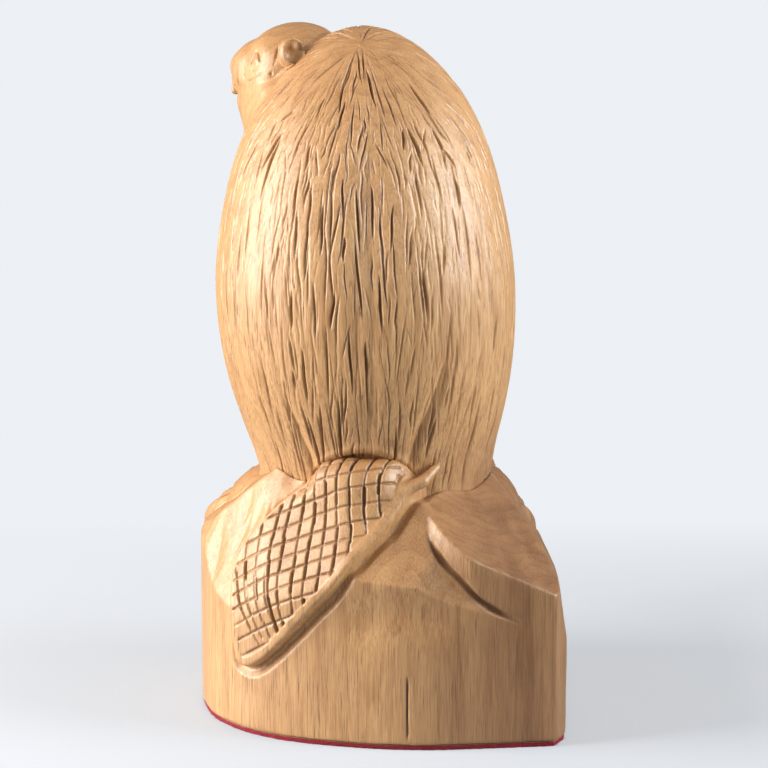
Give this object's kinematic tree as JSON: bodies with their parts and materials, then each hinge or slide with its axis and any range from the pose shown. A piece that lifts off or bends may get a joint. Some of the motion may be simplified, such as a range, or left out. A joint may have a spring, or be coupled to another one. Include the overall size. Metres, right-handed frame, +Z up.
{
  "type": "carved beaver figurine",
  "caption": "Hand-carved wooden beaver sitting upright on a faceted rock base, head turned aside, cross-hatched tail over the rock, felt under the base.",
  "frame": {"origin": "centre of the base's bounding rectangle, on the underside of the felt, where the carving stands", "axes": "+Z up along the wood's grain; the beaver faces -Y with its back to +Y, and its left side, where its head turns, is +X"},
  "size_m": [0.1019, 0.0931, 0.1906],
  "materials": {
    "carved_wood": "satin varnish over hand-cut hardwood, grain upright",
    "felt": "dark red wool felt, matt, trimmed by hand",
    "adhesive": "dried glue film"
  },
  "bodies": {
    "root": {"torso": "carved_wood", "head": "carved_wood", "ear_left": "carved_wood", "ear_right": "carved_wood", "incisors": "carved_wood", "foreleg_left": "carved_wood", "foreleg_right": "carved_wood", "hind_foot_left": "carved_wood", "hind_foot_right": "carved_wood", "rock_base": "carved_wood", "tail": "carved_wood", "felt_film": "adhesive", "felt_pad": "felt"}
  },
  "joints": []
}
